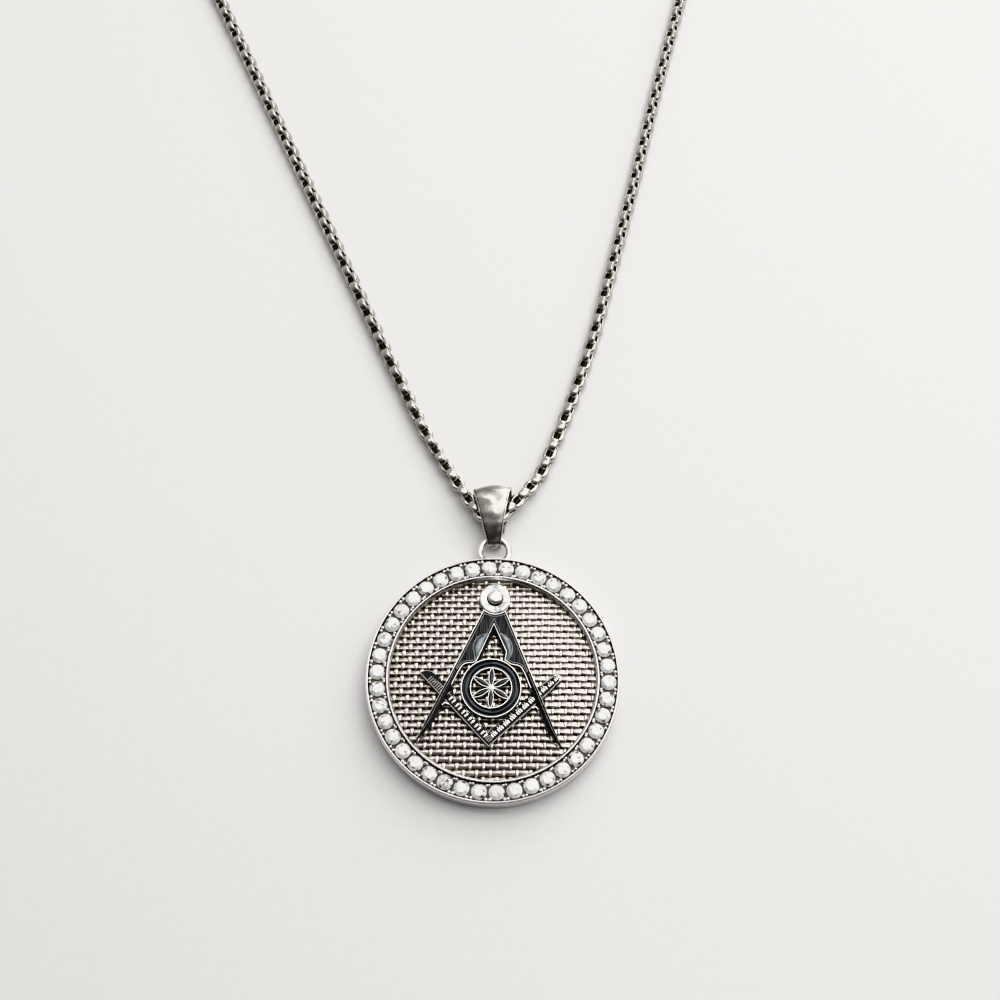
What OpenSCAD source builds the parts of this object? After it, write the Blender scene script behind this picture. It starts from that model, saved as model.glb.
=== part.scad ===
// Round medallion with the square and compasses, on a bail and a fine round box chain.
// The origin is the centre of the medallion's flat back. +Z is up through its front face,
// and +Y runs from the medallion to the bail. The whole necklace lies flat at z = 0.

/* [Round frame] */
// Outer diameter of the cast frame
medal_d = 38; // [37.5:0.5:39]
// Thickness of the solid back plate behind the mesh
back_t = 1.3; // [1.1:0.1:1.4]
// Height of the outer wall above the back
outer_wall_h = 3.2; // [3.1:0.1:3.4]
// Height of the inner wall above the back
inner_wall_h = 3.4; // [3.2:0.1:3.6]
// Thickness of the outer wall
outer_wall_t = 0.4; // [0.3:0.05:0.5]
// Thickness of the inner wall
inner_wall_t = 0.5; // [0.4:0.05:0.6]
// Width of the channel that holds the stones
channel_w = 2.7; // [2.6:0.05:2.9]
// Height of the channel floor above the back
channel_floor = 2.2; // [2.15:0.05:2.3]
// Small chamfer on the frame's edges
edge_c = 0.15; // [0.05:0.05:0.15]

/* [Soldered ring] */
// Outer diameter of the ring at the top of the frame
loop_d = 5.45; // [5.3:0.05:5.6]
// Thickness of the ring's wire
loop_wire = 0.95; // [0.8:0.05:0.95]
// How far the ring's centre stands outside the frame's edge
loop_out = 1.3; // [1.2:0.05:1.4]
// Height of the ring's centre above the back
loop_z = 1.7; // [1.6:0.05:1.7]
// Angle at the medallion's middle by which the ring sits to the left of the emblem's upright line
loop_turn = 1.8; // [0:0.2:2]

/* [Woven panel] */
// Thickness of the woven wire panel
mesh_t = 0.8; // [0.6:0.05:0.8]

/* [Stones] */
// Number of stones round the frame
stone_n = 42; // [38:1:42]
// Diameter of one stone
stone_d = 2.35; // [2.2:0.05:2.4]
// Height of the stones' flat tops above the back
stone_top = 3.25; // [3.1:0.05:3.4]

/* [Emblem] */
// How far the emblem sits to the left of the medallion's middle
emblem_left = 0.2; // [0:0.05:0.3]
// Thickness of the set square
square_t = 0.6; // [0.5:0.05:0.7]
// Thickness of the compasses and of the middle ring, which stand over the square
compasses_t = 1.1; // [1.05:0.05:1.2]
// Distance of the head washer's centre above the middle of the medallion
head_y = 12.35; // [12.2:0.05:12.5]
// Diameter of the head washer
head_d = 4.6; // [4.2:0.1:4.7]
// Diameter of the domed rivet on the washer
rivet_d = 2.2; // [1.8:0.1:2.4]
// Width across the shoulders of the compasses
shoulder_w = 3.3; // [3:0.1:3.6]
// Width across the two points of the compasses
points_w = 21.5; // [21:0.1:21.7]
// Distance of the points below the middle of the medallion
points_y = 10.15; // [10:0.05:10.3]
// Width of a leg of the compasses
leg_w = 1; // [0.9:0.05:1.1]
// Distance of the window's top above the middle of the medallion
window_y = 8.1; // [7.9:0.05:8.2]
// Width of the window at its widest place, above its foot
window_w = 4; // [3.8:0.1:4.2]
// Width of the window at its foot
window_foot_w = 3.6; // [3.4:0.1:3.8]
// Diameter of the two raised bosses that the window cuts into crescents
boss_d = 4.7; // [4.6:0.1:4.8]
// Distance of the square's outer corner below the middle of the medallion
corner_y = 10.5; // [10.5:0.05:10.6]
// Length of an arm of the square along its outer edge
arm_l = 15.2; // [14.5:0.1:15.4]
// Width of an arm of the square
arm_w = 1.6; // [1.4:0.05:1.6]
// Outer diameter of the middle ring
ring_d = 9; // [8.6:0.1:9]
// Width of the middle ring's band
ring_band = 1.5; // [1.3:0.05:1.6]
// Distance of the middle ring's centre below the middle of the medallion
ring_y = 1.7; // [1.6:0.05:1.7]

/* [Bail] */
// Thickness of the folded strip
strip_t = 0.5; // [0.4:0.05:0.5]
// Outer radius of the wide upper fold, which holds the chain
fold_r = 2.45; // [2.45:0.05:2.6]
// Outer radius of the narrow lower fold, round the soldered ring
foot_r = 1.4; // [1.4:0.05:1.45]
// Width of the strip at its upper end
bail_w_top = 5.8; // [5.4:0.1:6]
// Width of the strip at its lower end
bail_w_foot = 1.8; // [1.6:0.1:2]
// Distance between the centres of the two folds
bail_l = 6.2; // [6.1:0.05:6.3]
// Angle in the plane by which the loose bail lies askew to its ring
bail_turn = 2.2; // [1:0.2:3]
// Angle by which the bail leans over to its left side
bail_roll = 5; // [0:0.5:5]

/* [Chain] */
// Diameter across the round box chain
chain_d = 2.2; // [2:0.05:2.2]
// Diameter of the closing barrel
clasp_d = 3; // [2.8:0.1:3]

/* [Hidden] */
$fn = 96;

// Gap between a piece and the one that it lies in or on
gap = 0.1;
medal_r = medal_d / 2;
channel_r1 = medal_r - outer_wall_t;
channel_r0 = channel_r1 - channel_w;
recess_r = channel_r0 - inner_wall_t;
mesh_z = back_t + gap / 2;
emblem_z = mesh_z + mesh_t + gap / 2;
loop_y = medal_r + loop_out;
loop_r = (loop_d - loop_wire) / 2;

// Stones: a shared seat in the channel, and the stones' places on it
seat_z = channel_floor + gap / 2;
seat_h = 0.4;
stone_ring_r = (channel_r0 + channel_r1) / 2;

// Compasses: the seat round the head washer, and one leg's edge and inward direction
seat_r = head_d / 2 + 2 * gap;
shoulder = [shoulder_w / 2, head_y - sqrt(seat_r ^ 2 - (shoulder_w / 2) ^ 2)];
point_tip = [points_w / 2, -points_y];
leg_l = norm(point_tip - shoulder);
leg_dir = (point_tip - shoulder) / leg_l;
leg_in = [leg_dir[1], -leg_dir[0]];
// Share of the leg's length at which it starts to narrow to its point
taper_start = 0.86;
// The web ends below in arches struck from the middle ring's centre, which run into the legs
ring_c = [0, -ring_y];
leg_edge = shoulder + leg_w * leg_in;
arch_r = abs((leg_edge - ring_c) * leg_in);
arch_foot_a = atan2(-leg_in[1], -leg_in[0]);
arch_top_a = 51;
// Edge of the web that lies along the middle ring
web_rim_r = ring_d / 2 + 1.5 * gap;
window_foot_a = acos(window_foot_w / 2 / web_rim_r);
// Height of the window's widest place
window_knee_y = 3.95;
boss_c = [0.6, 4.4];
boss_h = 0.15;

// Rosette in the middle ring: six petals, each between two arcs of the rosette's own radius.
// Their tips run a little way into the band.
tip_into_band = 0.3;
petal_r = ring_d / 2 - ring_band + tip_into_band;
hub_r = 0.5;

// Bail: the lower fold goes round the wire of the soldered ring, which curves down at its sides.
// The upper fold is lifted, so that the side to which the bail leans only touches the ground.
foot_drop = 0.27;
foot_c = [loop_y + loop_r - foot_drop, loop_z];
bail_lift = bail_w_top / 2 * sin(bail_roll);
fold_c = [foot_c[0] + bail_l, fold_r + bail_lift];

// Route of the chain from the clasp down one strand, through the bail and up the other.
// The far stretch closes the loop in one plain round sweep.
chain_route = [
    [-28, 278, 1.5], [-31, 278, 1.5], [-45, 274.5, 1.1], [-60.5, 266, 1.1], [-73.5, 253, 1.1],
    [-82.5, 238, 1.1], [-87.5, 221, 1.1], [-88, 203.5, 1.1], [-83, 185, 1.1], [-74, 164, 1.1],
    [-62, 139, 1.1], [-49.5, 114, 1.1], [-37, 89, 1.1], [-27, 69, 1.1], [-17, 49, 1.1],
    [-12, 39.5, 1.1], [-7.4, 32.4, 1.25], [-4.7, 28.5, 1.6], [-2.9, 26.3, 2], [-0.9, 25.6, 2.2],
    [1, 27, 2.25], [3.1, 29.5, 2], [5.5, 32.8, 1.3], [8, 39, 1.1], [11, 48, 1.1],
    [14, 59, 1.1], [17, 73, 1.1], [20.5, 90, 1.1], [24, 108, 1.1], [29.5, 134, 1.1],
    [35, 160, 1.1], [40.5, 186, 1.1], [44, 203.5, 1.1], [43.5, 221, 1.1], [38.5, 238, 1.1],
    [29.5, 253, 1.1], [16.5, 266, 1.1], [1, 274.5, 1.1], [-13, 278, 1.5], [-16, 278, 1.5]
];
chain_steps = 2;
chain_sides = 8;
clasp_start = chain_route[0];
clasp_end = chain_route[len(chain_route) - 1];
clasp_l = clasp_end[0] - clasp_start[0] - 2 * gap;

// Points of an arc round c, from angle a0 to angle a1 in n steps
function arc(c, r, a0, a1, n) =
    [for (i = [0:n]) let (a = a0 + (a1 - a0) * i / n) c + r * [cos(a), sin(a)]];

// The same points on the other side of the Y axis, in the opposite order
function mirrored(points) = [for (i = [len(points) - 1:-1:0]) [-points[i][0], points[i][1]]];

// Outline of a strap that is drawn tight round two circles
function strap_outline(c0, r0, c1, r1, n) =
    let (lean = atan2(c1[1] - c0[1], c1[0] - c0[0]))
    let (wrap = asin((r1 - r0) / norm(c1 - c0)))
    concat(arc(c0, r0, lean + 90 + wrap, lean + 270 - wrap, n),
           arc(c1, r1, lean - 90 - wrap, lean + 90 + wrap, n));

// Direction of a smooth curve through the points p, at point i
function slope(p, i) =
    i == 0 ? (p[1] - p[0]) / norm(p[1] - p[0]) :
    i == len(p) - 1 ? (p[i] - p[i - 1]) / norm(p[i] - p[i - 1]) :
    let (d0 = norm(p[i] - p[i - 1]), d1 = norm(p[i + 1] - p[i]))
    ((p[i + 1] - p[i]) * d0 / d1 + (p[i] - p[i - 1]) * d1 / d0) / (d0 + d1);

// Point of that curve at share t of the stretch after point i
function curve_point(p, i, t) =
    let (d = norm(p[i + 1] - p[i]))
    (2 * t ^ 3 - 3 * t ^ 2 + 1) * p[i] + (t ^ 3 - 2 * t ^ 2 + t) * d * slope(p, i) +
    (3 * t ^ 2 - 2 * t ^ 3) * p[i + 1] + (t ^ 3 - t ^ 2) * d * slope(p, i + 1);

// The whole curve in steps points for each stretch
function curve(p, steps) = concat(
    [for (i = [0:len(p) - 2], k = [0:steps - 1]) curve_point(p, i, k / steps)],
    [p[len(p) - 1]]);

// Tube swept along a line of points that lies near the ground
module tube(points, d, sides) {
    n = len(points);
    r = d / 2 / cos(180 / sides);
    rings = [for (i = [0:n - 1])
        let (ahead = points[min(i + 1, n - 1)] - points[max(i - 1, 0)])
        let (flat = cross([0, 0, 1], ahead))
        let (side = flat / norm(flat), top = cross(ahead, side) / norm(ahead))
        for (k = [0:sides - 1])
            let (a = 360 * (k + 0.5) / sides)
            points[i] + r * (cos(a) * side + sin(a) * top)];
    walls = [for (i = [0:n - 2], k = [0:sides - 1])
        let (next = (k + 1) % sides)
        [i * sides + k, i * sides + next, (i + 1) * sides + next, (i + 1) * sides + k]];
    start = [for (k = [sides - 1:-1:0]) k];
    end = [for (k = [0:sides - 1]) (n - 1) * sides + k];
    polyhedron(rings, concat([start, end], walls));
}

// Round frame with its two walls, the channel between them, and the ring soldered on top
module rim_frame() color("silver") {
    rotate_extrude() polygon([
        [0, 0], [medal_r - edge_c, 0], [medal_r, edge_c], [medal_r, outer_wall_h - edge_c],
        [medal_r - edge_c, outer_wall_h], [channel_r1, outer_wall_h], [channel_r1, channel_floor],
        [channel_r0, channel_floor], [channel_r0, inner_wall_h], [recess_r + edge_c, inner_wall_h],
        [recess_r, inner_wall_h - edge_c], [recess_r, back_t], [0, back_t]
    ]);
    rotate(loop_turn) translate([0, loop_y, loop_z])
        rotate_extrude() translate([loop_r, 0]) circle(d = loop_wire, $fn = 32);
}

// Woven wire panel that lies in the recess
module mesh_disc() color("lightgray")
    translate([0, 0, mesh_z]) cylinder(r = recess_r - gap, h = mesh_t);

// Right half of the compasses, from the shoulder down to the point and up to the window's top
function compasses_half() = concat(
    [shoulder, point_tip, leg_edge + leg_l * taper_start * leg_dir],
    arc(ring_c, arch_r, arch_foot_a, arch_top_a, 8),
    arc(ring_c, web_rim_r, arch_top_a, window_foot_a, 3),
    [[window_w / 2, window_knee_y], [0, window_y]]);

module compasses_outline() {
    half = compasses_half();
    seat_a = acos(shoulder_w / 2 / seat_r);
    head_seat = arc([0, head_y], seat_r, 180 + seat_a, 360 - seat_a, 8);
    polygon(concat(head_seat, half, mirrored(half)));
}

// Space of the square's two arms under the compasses' legs
module arm_slots()
    for (side = [0, 1]) mirror([side, 0, 0])
        translate([0, -corner_y, -1]) rotate(45)
            translate([arm_l / 2, -gap, 0])
                cube([arm_l / 2 + 2, arm_w + 2 * gap, 1 + square_t + gap / 2]);

module compasses() color("dimgray") translate([-emblem_left, 0, emblem_z]) difference() {
    union() {
        linear_extrude(compasses_t) compasses_outline();
        linear_extrude(compasses_t + boss_h) intersection() {
            compasses_outline();
            for (side = [0, 1]) mirror([side, 0]) translate(boss_c) circle(d = boss_d);
        }
    }
    arm_slots();
}

// Point of the square's right arm, s along its outer edge and w in from that edge
function arm_point(s, w) = [s - w, s + w] / sqrt(2) - [0, corner_y];

// Set square: the right arm has a round, slightly narrower end, and the left a blade's end
module square() color("dimgray") {
    end_r = 0.38 * arm_w;
    narrow_from = 0.8 * arm_l;
    round_end = [for (p = arc([arm_l - end_r, arm_w / 2], end_r, -90, 90, 8)) arm_point(p[0], p[1])];
    blade_end = [for (p = arc([arm_l - arm_w, 0], arm_w, 90, 10, 6)) arm_point(p[0], p[1])];
    blade_tip = arm_point(arm_l, 0);
    translate([-emblem_left, 0, emblem_z]) linear_extrude(square_t) polygon(concat(
        [arm_point(0, 0), arm_point(narrow_from, 0)],
        round_end,
        [arm_point(narrow_from, arm_w), arm_point(arm_w, arm_w)],
        [for (p = blade_end) [-p[0], p[1]]],
        [[-blade_tip[0], blade_tip[1]]]
    ));
}

// Washer with a domed rivet at the head of the compasses
module head_boss() color("gainsboro") {
    rivet_r = rivet_d / 2;
    washer_drop = 0.15;
    washer_h = compasses_t - washer_drop;
    dome_h = rivet_r / 2;
    dome = [for (a = [0:15:90]) [rivet_r * cos(a), washer_h + dome_h * sin(a)]];
    translate([-emblem_left, head_y, emblem_z]) rotate_extrude() polygon(concat(
        [[0, 0], [head_d / 2, 0], [head_d / 2, washer_h - edge_c], [head_d / 2 - edge_c, washer_h]],
        dome));
}

module petal()
    linear_extrude(compasses_t) intersection() {
        translate([petal_r / 2, petal_r * sin(60)]) circle(r = petal_r);
        translate([petal_r / 2, -petal_r * sin(60)]) circle(r = petal_r);
    }

// Plain ring with a six-petalled rosette, drawn with compasses
module centre_ring() color("dimgray") translate([-emblem_left, -ring_y, emblem_z]) {
    difference() {
        cylinder(d = ring_d, h = compasses_t);
        translate([0, 0, -1]) cylinder(d = ring_d - 2 * ring_band, h = compasses_t + 2);
    }
    cylinder(r = hub_r, h = compasses_t);
    for (i = [0:5]) rotate(30 + 60 * i) petal();
}

// Row of round stones on one shared seat
module stone_row() color("white") {
    translate([0, 0, seat_z]) difference() {
        cylinder(r = channel_r1 - gap, h = seat_h);
        translate([0, 0, -1]) cylinder(r = channel_r0 + gap, h = seat_h + 2);
    }
    for (i = [0:stone_n - 1]) rotate((i + 0.5) * 360 / stone_n)
        translate([0, stone_ring_r, seat_z]) cylinder(d = stone_d, h = stone_top - seat_z, $fn = 24);
}

// Tapered strip, folded into a loop round the soldered ring below and the chain above
module bail() color("gainsboro") {
    fold_steps = 10;
    foot_y = foot_c[0] - foot_r;
    widest_y = fold_c[0] + fold_r / 2;
    past_y = fold_c[0] + fold_r + 1;
    rotate(loop_turn) translate([0, foot_c[0], foot_c[1]]) rotate([0, -bail_roll, bail_turn])
    translate([0, -foot_c[0], -foot_c[1]]) intersection() {
        rotate([90, 0, 90]) translate([0, 0, -bail_w_top]) linear_extrude(2 * bail_w_top) difference() {
            polygon(strap_outline(foot_c, foot_r, fold_c, fold_r, fold_steps));
            polygon(strap_outline(foot_c, foot_r - strip_t, fold_c, fold_r - strip_t, fold_steps));
        }
        translate([0, 0, -1]) linear_extrude(2 * fold_r + 2) polygon([
            [-bail_w_foot / 2, foot_y], [bail_w_foot / 2, foot_y], [bail_w_top / 2, widest_y],
            [bail_w_top / 2, past_y], [-bail_w_top / 2, past_y], [-bail_w_top / 2, widest_y]
        ]);
    }
}

// Chain, lying on the ground except where the bail lifts it
module chain() color("silver") {
    lying = [for (p = curve(chain_route, chain_steps)) [p[0], p[1], max(p[2], chain_d / 2)]];
    tube(lying, chain_d, chain_sides);
}

// Plain barrel with coned ends that closes the chain
module clasp() color("silver") {
    r = clasp_d / 2;
    neck_r = chain_d / 2;
    neck_l = 1.2;
    cone_end = 1.9;
    translate([clasp_start[0] + gap, clasp_start[1], clasp_start[2]]) rotate([0, 90, 0])
        rotate_extrude() polygon([
            [0, 0], [neck_r, 0], [neck_r, neck_l], [r, cone_end], [r, clasp_l - cone_end],
            [neck_r, clasp_l - neck_l], [neck_r, clasp_l], [0, clasp_l]
        ]);
}

rim_frame();
mesh_disc();
square();
compasses();
head_boss();
centre_ring();
stone_row();
bail();
chain();
clasp();
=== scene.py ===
import math
import random

import bmesh
import bpy
from mathutils import Matrix, Quaternion, Vector


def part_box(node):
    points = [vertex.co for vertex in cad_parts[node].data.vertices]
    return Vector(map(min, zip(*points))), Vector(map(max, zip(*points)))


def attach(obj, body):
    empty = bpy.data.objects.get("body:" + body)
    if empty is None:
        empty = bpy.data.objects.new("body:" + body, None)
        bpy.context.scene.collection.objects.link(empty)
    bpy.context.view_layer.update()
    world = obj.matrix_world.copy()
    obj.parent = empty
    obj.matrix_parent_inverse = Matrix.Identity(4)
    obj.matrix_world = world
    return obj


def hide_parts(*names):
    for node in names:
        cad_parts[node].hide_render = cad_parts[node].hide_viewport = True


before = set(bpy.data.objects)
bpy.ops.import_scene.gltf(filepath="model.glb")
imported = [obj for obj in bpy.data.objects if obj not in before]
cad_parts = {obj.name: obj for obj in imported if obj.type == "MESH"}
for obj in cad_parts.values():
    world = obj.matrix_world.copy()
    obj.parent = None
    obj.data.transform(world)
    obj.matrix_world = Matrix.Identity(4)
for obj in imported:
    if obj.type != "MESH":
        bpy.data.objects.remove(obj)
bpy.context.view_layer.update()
random.seed(42)


# Cast round frame
# One steel casting: a flat back, a low outer wall, a taller inner wall and a channel for the stones between
# them, with a wire ring soldered on at the top. The walls were polished on a felt wheel, and the channel and
# the recess keep the dark skin of the casting. That dark is partly painted shade: it also covers the
# channel's walls below the lips and the groove under the outer lip, where shade falls.

def srgb(code):
    """Linear colour of an sRGB hex value."""
    parts = [int(code[i:i + 2], 16) / 255 for i in (1, 3, 5)]
    return (*[c / 12.92 if c <= 0.04045 else ((c + 0.055) / 1.055) ** 2.4 for c in parts], 1)


def add_node(tree, kind, settings=(), links=()):
    """A node with its settings, by name or socket number, and its links from a socket or from a node."""
    node = tree.nodes.new("ShaderNode" + kind)
    for name, value in dict(settings).items():
        if isinstance(name, int) or name in node.inputs:
            node.inputs[name].default_value = value
        else:
            setattr(node, name, value)
    for name, source in dict(links).items():
        if isinstance(source, bpy.types.Node):
            source = next(output for output in source.outputs if output.enabled)
        tree.links.new(source, node.inputs[name])
    return node


def new_finish(name):
    """An empty material, its node tree and the place on the object that its patterns are drawn by."""
    finish = bpy.data.materials.new(name)
    finish.use_nodes = True
    finish.node_tree.nodes.clear()
    return finish, finish.node_tree, add_node(finish.node_tree, "TexCoord").outputs["Object"]


def mottled_finish(name, patch_mm, look, detail=3, relief=0, relief_mm=0):
    """A finish with that look, in which a pair wanders between its two values over patches of that size."""
    finish, tree, place = new_finish(name)
    patches = add_node(tree, "TexNoise", {"Scale": 1000 / patch_mm, "Detail": detail}, {"Vector": place})
    steady, links = {}, {}
    for socket, value in look.items():
        if not isinstance(value, tuple):
            steady[socket] = srgb(value) if socket == "Base Color" else value
        elif socket == "Base Color":
            ends = {6: srgb(value[0]), 7: srgb(value[1])}
            links[socket] = add_node(tree, "Mix", {"data_type": "RGBA", **ends}, {0: patches})
        else:
            ends = {"To Min": value[0], "To Max": value[1]}
            links[socket] = add_node(tree, "MapRange", ends, {"Value": patches})
    if relief:
        height = {"Strength": relief, "Distance": relief_mm / 1000}
        links["Normal"] = add_node(tree, "Bump", height, {"Height": patches})
    shader = add_node(tree, "BsdfPrincipled", steady, links)
    add_node(tree, "OutputMaterial", {}, {"Surface": shader})
    return finish


def box_mm(node):
    """Lowest and highest corner of a CAD node, in millimetres."""
    low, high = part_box(node)
    return low * 1000, high * 1000


def rounded(corners, steps):
    """Points (x, y, finish) of an outline whose corners (x, y, radius, finish) are turned to arcs."""
    points = []
    for i, (x, y, radius, finish) in enumerate(corners):
        if radius == 0:
            points.append((x, y, finish))
            continue
        here = Vector((x, y))
        back = (Vector(corners[i - 1][:2]) - here).normalized()
        ahead = (Vector(corners[(i + 1) % len(corners)][:2]) - here).normalized()
        half = back.angle(ahead) / 2
        centre = here + (back + ahead).normalized() * radius / math.sin(half)
        start = here + back * radius / math.tan(half) - centre
        end = here + ahead * radius / math.tan(half) - centre
        for k in range(steps + 1):
            spoke = start.lerp(end, k / steps).normalized() * radius
            points.append((centre.x + spoke.x, centre.y + spoke.y, finish))
    return points


def revolve(section, steps, centre=(0, 0, 0)):
    """Shell turned about an upright axis from the section's points (radius, height, finish)."""
    points, faces, finishes, rows = [], [], [], []
    for radius, height, _ in section:
        count = steps if radius > 0 else 1
        rows.append([len(points) + k % count for k in range(steps)])
        for k in range(count):
            a = 2 * math.pi * k / steps
            points.append(Vector(centre) + Vector((radius * math.sin(a), radius * math.cos(a), height)))
    for i, (_, _, finish) in enumerate(section):
        low, high = rows[i], rows[(i + 1) % len(rows)]
        for k in range(steps):
            n = (k + 1) % steps
            face = list(dict.fromkeys((low[k], high[k], high[n], low[n])))
            if len(face) > 2:
                faces.append(face)
                finishes.append(finish)
    return points, faces, finishes


def tube_faces(count, sides, closed):
    """Faces of a tube through that many loops of points: closed to a ring, or with a face at each end."""
    faces = []
    for i in range(count if closed else count - 1):
        a, b = i * sides, (i + 1) % count * sides
        faces += [(a + k, a + (k + 1) % sides, b + (k + 1) % sides, b + k) for k in range(sides)]
    if not closed:
        faces += [tuple(range(sides)), tuple(range((count - 1) * sides, count * sides))]
    return faces


def sweep(path, section, finish, closed=False, scale=None):
    """Shell carried along path: section is a loop of (sideways, upward) offsets, scaled by scale's values."""
    points = []
    count = len(path)
    longest_mitre = 1.6
    for i, here in enumerate(path):
        before = here - path[i - 1] if i or closed else path[1] - path[0]
        after = path[(i + 1) % count] - here if i + 1 < count or closed else before
        before, after = before.normalized(), after.normalized()
        along = before + after
        mitre = min(longest_mitre, 2 / max(along.length, 0.1))
        side = along.cross(Vector((0, 0, 1))).normalized()
        rise = side.cross(along).normalized()
        grow = scale[i] if scale else 1
        points += [here + side * (s * grow * mitre) + rise * (u * grow) for s, u in section]
    faces = tube_faces(count, len(section), closed)
    return points, faces, [finish] * len(faces)


def wire_section(diameter, sides):
    """Loop of (sideways, upward) offsets round a wire."""
    turns = [2 * math.pi * (k + 0.5) / sides for k in range(sides)]
    return [(math.cos(a) * diameter / 2, math.sin(a) * diameter / 2) for a in turns]


def make_piece(name, shells, slot, *nodes, sharp_from=40):
    """One piece from shells (points in mm, faces, a finish for each face), sharp at edges from that angle."""
    points, faces, face_finish = [], [], []
    for shell_points, shell_faces, shell_finishes in shells:
        start = len(points)
        points += [p / 1000 for p in shell_points]
        faces += [[start + i for i in face] for face in shell_faces]
        face_finish += shell_finishes
    mesh = bpy.data.meshes.new(name)
    mesh.from_pydata(points, [], faces)
    finishes = list(dict.fromkeys(face_finish))
    for finish in finishes:
        mesh.materials.append(finish)
    mesh.polygons.foreach_set("material_index", [finishes.index(finish) for finish in face_finish])
    work = bmesh.new()
    work.from_mesh(mesh)
    bmesh.ops.recalc_face_normals(work, faces=work.faces)
    work.to_mesh(mesh)
    work.free()
    mesh.shade_smooth()
    mesh.set_sharp_from_angle(angle=math.radians(sharp_from))
    piece = bpy.data.objects.new(name, mesh)
    bpy.context.scene.collection.objects.link(piece)
    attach(piece, "root")
    if nodes:
        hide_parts(*nodes)
    return piece


# Stainless steel, polished on a wheel: a bright mirror with a faint lavender cast, hazy scuffs and the fine
# marks of the wheel, which are drawn coarser than the real ones so that they show
scuff_mm = 0.9
wheel_mm = 0.12
polished_steel, tree, place = new_finish("stainless_steel_wheel_polished")
scuffs = add_node(tree, "TexNoise", {"Scale": 1000 / scuff_mm, "Detail": 4}, {"Vector": place})
haze = add_node(tree, "MapRange", {"To Min": 0.12, "To Max": 0.28}, {"Value": scuffs})
marks = add_node(tree, "TexNoise", {"Scale": 1000 / wheel_mm, "Detail": 2}, {"Vector": place})
bump = add_node(tree, "Bump", {"Strength": 0.06, "Distance": 0.02 / 1000}, {"Height": marks})
shader = add_node(tree, "BsdfPrincipled", {"Base Color": srgb("#e5e2e3"), "Metallic": 1},
                  {"Roughness": haze, "Normal": bump})
add_node(tree, "OutputMaterial", {}, {"Surface": shader})

# The same steel as it was cast and blackened: dark brown-grey, with a sandy grain drawn coarse enough to
# show.
# It is also laid on as painted shade: in the frame's channel and groove, on the sides of the ground between
# the stones, in the bail's grooves, in the clasp's groove and inside the chain's links.
dark_skin_and_shade = mottled_finish("cast_steel_blackened_and_painted_shade", patch_mm=0.16,
                           look={"Base Color": ("#1c1916", "#4a443e"), "Metallic": 0.8, "Roughness": 0.45},
                           relief=0.5, relief_mm=0.03)

# The blackening half worn away on the wall of the recess: brown-grey, with a dull sheen
worn_skin = mottled_finish("cast_steel_worn", patch_mm=0.5,
                           look={"Base Color": ("#6f6961", "#b5aea5"), "Metallic": 0.9, "Roughness": 0.42})

frame_high = box_mm("rim_frame")[1]
mesh_low, mesh_high = box_mm("mesh_disc")
medal_r = frame_high.x
outer_lip_z = 3.2
inner_lip_z = frame_high.z
lip_in = 0.12
lip_low_z = outer_lip_z - 0.5
groove_low_z = outer_lip_z - 0.36
groove_high_z = outer_lip_z - 0.14
outer_wall_t = 0.4
outer_bright_h = 0.16
inner_bright_h = 0.2
channel_w = 2.7
channel_r1 = medal_r - outer_wall_t
channel_r0 = channel_r1 - channel_w
channel_z = 1.92
recess_r = mesh_high.x + 0.1
crest_r = recess_r + 0.28
slope_h = 0.42
worn_h = 0.6
recess_z = mesh_low.z - 0.05
frame_steps = 240
# Painted shade: the groove under the outer lip and the channel's walls below the lips take the dark finish
frame_section = rounded([
    (0, 0, 0, polished_steel),
    (medal_r, 0, 0.3, polished_steel),
    (medal_r, lip_low_z, 0.12, polished_steel),
    (medal_r - lip_in, groove_low_z, 0, dark_skin_and_shade),
    (medal_r - lip_in, groove_high_z, 0, polished_steel),
    (medal_r - lip_in, outer_lip_z, 0.13, polished_steel),
    (channel_r1, outer_lip_z, 0.13, polished_steel),
    (channel_r1, outer_lip_z - outer_bright_h, 0, dark_skin_and_shade),
    (channel_r1, channel_z, 0.1, dark_skin_and_shade),
    (channel_r0, channel_z, 0.1, dark_skin_and_shade),
    (channel_r0, inner_lip_z - inner_bright_h, 0, polished_steel),
    (channel_r0, inner_lip_z, 0.12, polished_steel),
    (crest_r, inner_lip_z, 0.1, polished_steel),
    (recess_r, inner_lip_z - slope_h, 0.08, worn_skin),
    (recess_r, inner_lip_z - worn_h, 0, worn_skin),
    (recess_r, recess_z, 0, dark_skin_and_shade),
    (0, recess_z, 0, dark_skin_and_shade),
], steps=4)
frame_shell = revolve(frame_section, frame_steps)

# The soldered ring is round wire, thicker where the solder ran up from the wall. It sits a little askew.
ring_turn = math.radians(1.8)
ring_wire = 0.95
ring_r = 2.25
ring_y = (frame_high.y - ring_wire / 2 - ring_r) / math.cos(ring_turn)
ring_z = 1.7
ring_askew = Matrix.Rotation(ring_turn, 3, "Z")
ring_sides = 20
ring_sunk_r = medal_r - 0.3
sunk = math.asin((ring_sunk_r ** 2 - ring_y ** 2 - ring_r ** 2) / (2 * ring_y * ring_r))
ring_span = math.pi - 2 * sunk
solder_run = 1.4
solder_swell = 0.85
ring_steps = 56
ring_path, ring_grow = [], []
for k in range(ring_steps + 1):
    turn = sunk + ring_span * k / ring_steps
    from_end = min(k, ring_steps - k) / ring_steps * ring_span * ring_r
    ring_path.append(ring_askew @ Vector((ring_r * math.cos(turn), ring_y + ring_r * math.sin(turn), ring_z)))
    ring_grow.append(1 + solder_swell * max(0, 1 - from_end / solder_run) ** 2)
ring_shell = sweep(ring_path, wire_section(ring_wire, ring_sides), polished_steel, scale=ring_grow)
make_piece("frame_casting", [frame_shell, ring_shell], "polished_steel", "rim_frame")
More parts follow.
